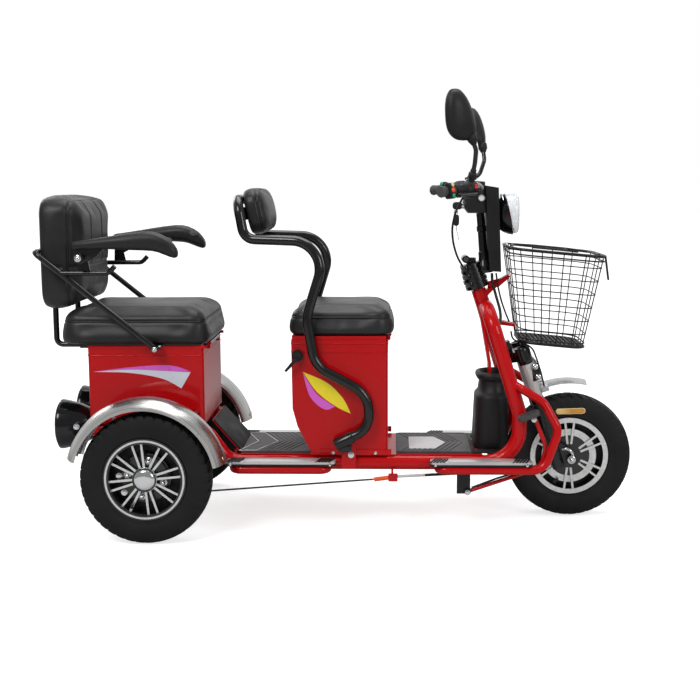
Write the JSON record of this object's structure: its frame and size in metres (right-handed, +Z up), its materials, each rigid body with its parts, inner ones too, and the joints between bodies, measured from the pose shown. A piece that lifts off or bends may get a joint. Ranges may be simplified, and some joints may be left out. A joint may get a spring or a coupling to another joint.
{
  "type": "three-wheel electric scooter",
  "caption": "three-wheel electric mobility scooter with two seats over storage boxes, a guard hoop with back pad, a wire front basket and side foot boards",
  "frame": {"origin": "on the ground, in the middle of the overall length and width", "axes": "+X is forward, +Y is the rider's left, +Z is up"},
  "size_m": [1.691, 0.72, 1.2239],
  "materials": {
    "red_paint": "gloss",
    "black_paint": "gloss",
    "silver_rim": "machined and painted",
    "steel": "brushed",
    "tyre": "matte",
    "rubber": "matte",
    "leather": "satin",
    "plastic": "matte",
    "board": "gloss",
    "grey_plastic": "matte",
    "lens": "clear",
    "lamp": "gloss"
  },
  "bodies": {
    "frame": {"main_frame": "red_paint", "side_board_carriers": "red_paint", "floor_panel": "red_paint", "floor_mats": "rubber", "side_boards": "board", "front_box": "red_paint", "box_lock": "black_paint", "battery_pack": "grey_plastic", "guard_hoop": "black_paint", "guard_pad": "leather", "rear_box": "red_paint", "rear_fender_left": "steel", "rear_fender_right": "steel", "rear_axle": "black_paint", "tail_lamps": "lamp", "footwell_cover": "plastic", "basket": "black_paint", "brake_pedal": "rubber", "brake_linkage": "red_paint", "wiring_loom": "rubber", "meter_cable": "rubber"},
    "steering": {"fork_crown": "black_paint", "fork_legs": "steel", "front_fender": "steel", "handlebar_stem": "black_paint", "front_panel": "plastic", "headlight": "plastic", "headlight_lens": "lens", "dash_housing": "plastic", "handlebar": "black_paint", "handle_grips": "rubber", "hand_controls": "plastic", "mirror_left": "plastic", "mirror_right": "plastic", "brake_cable": "rubber", "hub_cable": "rubber"},
    "front_wheel": {"front_tyre": "tyre", "front_rim": "silver_rim"},
    "rear_wheel_left": {"rear_tyre_left": "tyre", "rear_rim_left": "silver_rim"},
    "rear_wheel_right": {"rear_tyre_right": "tyre", "rear_rim_right": "silver_rim"},
    "front_seat": {"front_seat_base": "black_paint", "front_seat_cushion": "leather"},
    "rear_seat": {"rear_seat_frame": "black_paint", "rear_seat_cushion": "leather", "rear_backrest": "leather"},
    "armrest_left": {"armrest_left": "plastic"},
    "armrest_right": {"armrest_right": "plastic"}
  },
  "joints": [
    {"name": "steering_turn", "type": "hinge", "parent": "frame", "child": "steering", "pos_m": [0.4045, 0, 0.645], "axis": [-0.309, 0, 0.9511], "range_deg": [-35, 35]},
    {"name": "front_wheel_spin", "type": "hinge", "parent": "steering", "child": "front_wheel", "pos_m": [0.6645, 0, 0.181], "axis": [0, 1, 0], "continuous": true},
    {"name": "rear_wheel_left_spin", "type": "hinge", "parent": "frame", "child": "rear_wheel_left", "pos_m": [-0.5235, 0.3075, 0.181], "axis": [0, 1, 0], "continuous": true},
    {"name": "rear_wheel_right_spin", "type": "hinge", "parent": "frame", "child": "rear_wheel_right", "pos_m": [-0.5235, -0.3075, 0.181], "axis": [0, 1, 0], "continuous": true},
    {"name": "front_seat_lift", "type": "hinge", "parent": "frame", "child": "front_seat", "pos_m": [0.1405, 0, 0.5443], "axis": [0, 1, 0], "range_deg": [0, 75]},
    {"name": "rear_seat_lift", "type": "hinge", "parent": "frame", "child": "rear_seat", "pos_m": [-0.3765, 0, 0.5223], "axis": [0, 1, 0], "range_deg": [0, 55]},
    {"name": "armrest_left_lift", "type": "hinge", "parent": "rear_seat", "child": "armrest_left", "pos_m": [-0.7035, 0.2265, 0.776], "axis": [0, -1, 0], "range_deg": [0, 90]},
    {"name": "armrest_right_lift", "type": "hinge", "parent": "rear_seat", "child": "armrest_right", "pos_m": [-0.7035, -0.2265, 0.776], "axis": [0, -1, 0], "range_deg": [0, 90]}
  ]
}
